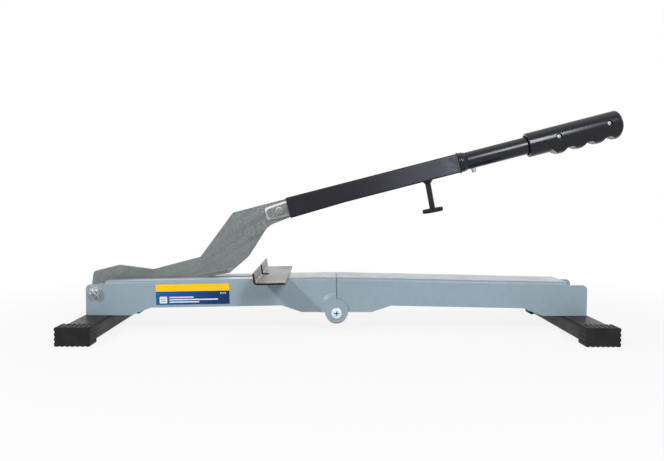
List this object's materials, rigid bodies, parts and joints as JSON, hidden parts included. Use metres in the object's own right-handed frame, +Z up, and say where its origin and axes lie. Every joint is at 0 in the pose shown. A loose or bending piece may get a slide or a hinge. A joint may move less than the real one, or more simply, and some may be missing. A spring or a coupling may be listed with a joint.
{
  "type": "folding laminate flooring cutter",
  "caption": "Folding flooring cutter: a long lever with a pivoting shear blade on a two part sheet steel bed with ribbed feet, a cross fence and a pull-off handle.",
  "frame": {"origin": "on the floor under the middle of the whole cutter's box, lever standing open as pictured", "axes": "+X along the bed from the blade's pivot towards the grip, +Y away from the labelled front, +Z up"},
  "size_m": [0.703, 0.245, 0.2877],
  "materials": {
    "bed_paint": "smooth blue grey powder coat",
    "black_paint": "satin black powder coat",
    "foot_rubber": "matte black",
    "zinc_steel": "bright zinc plate",
    "blade_steel": "dull mottled zinc, ground edge",
    "fence_steel": "plain warm grey sheet with dark cut edges",
    "label_film": "blue film with a yellow band",
    "white_plastic": "low friction washer",
    "grip_plastic": "fine grained black"
  },
  "bodies": {
    "base": {"left_bed": "bed_paint", "left_foot_bar": "black_paint", "left_front_foot_cap": "foot_rubber", "left_rear_foot_cap": "foot_rubber", "left_foot_rivets": "zinc_steel", "fence": "fence_steel", "fence_nuts": "zinc_steel", "side_label": "label_film", "hinge_screw": "zinc_steel", "hinge_spacer": "zinc_steel", "hinge_washer": "zinc_steel", "hinge_nut": "zinc_steel", "pivot_bolt": "zinc_steel", "pivot_washers": "zinc_steel", "pivot_spacers": "zinc_steel", "blade_washers": "white_plastic", "pivot_nut": "zinc_steel"},
    "folding_half": {"right_bed": "bed_paint", "right_foot_bar": "black_paint", "right_front_foot_cap": "foot_rubber", "right_rear_foot_cap": "foot_rubber", "right_foot_rivets": "zinc_steel"},
    "lever": {"blade": "blade_steel", "front_doubler": "blade_steel", "rear_doubler": "blade_steel", "doubler_rivet": "zinc_steel", "handle_arm": "black_paint", "arm_collar": "black_paint", "handle_stub": "black_paint", "stop_post": "black_paint", "stop_pad": "foot_rubber", "spring_leg": "zinc_steel"},
    "handle": {"handle_tube": "black_paint", "front_grip_half": "grip_plastic", "rear_grip_half": "grip_plastic", "grip_screws": "zinc_steel", "grip_nuts": "zinc_steel"},
    "button": {"snap_button": "zinc_steel", "button_leaf": "zinc_steel"}
  },
  "joints": [
    {"name": "bed_fold", "type": "hinge", "parent": "base", "child": "folding_half", "pos_m": [-0.02387, 0, 0.0245], "axis": [0, 1, 0], "range_deg": [0, 169]},
    {"name": "lever_pivot", "type": "hinge", "parent": "base", "child": "lever", "pos_m": [-0.33167, 0, 0.0509], "axis": [0, -1, 0], "range_deg": [-11, 50]},
    {"name": "handle_pull", "type": "slide", "parent": "lever", "child": "handle", "axis": [0.9675, 0, 0.2529], "range_m": [0, 0.09]},
    {"name": "button_press", "type": "slide", "parent": "lever", "child": "button", "axis": [-0.2529, 0, 0.9675], "range_m": [0, 0.004], "stiffness_N_per_m": 600, "springref_m": -0.002}
  ]
}
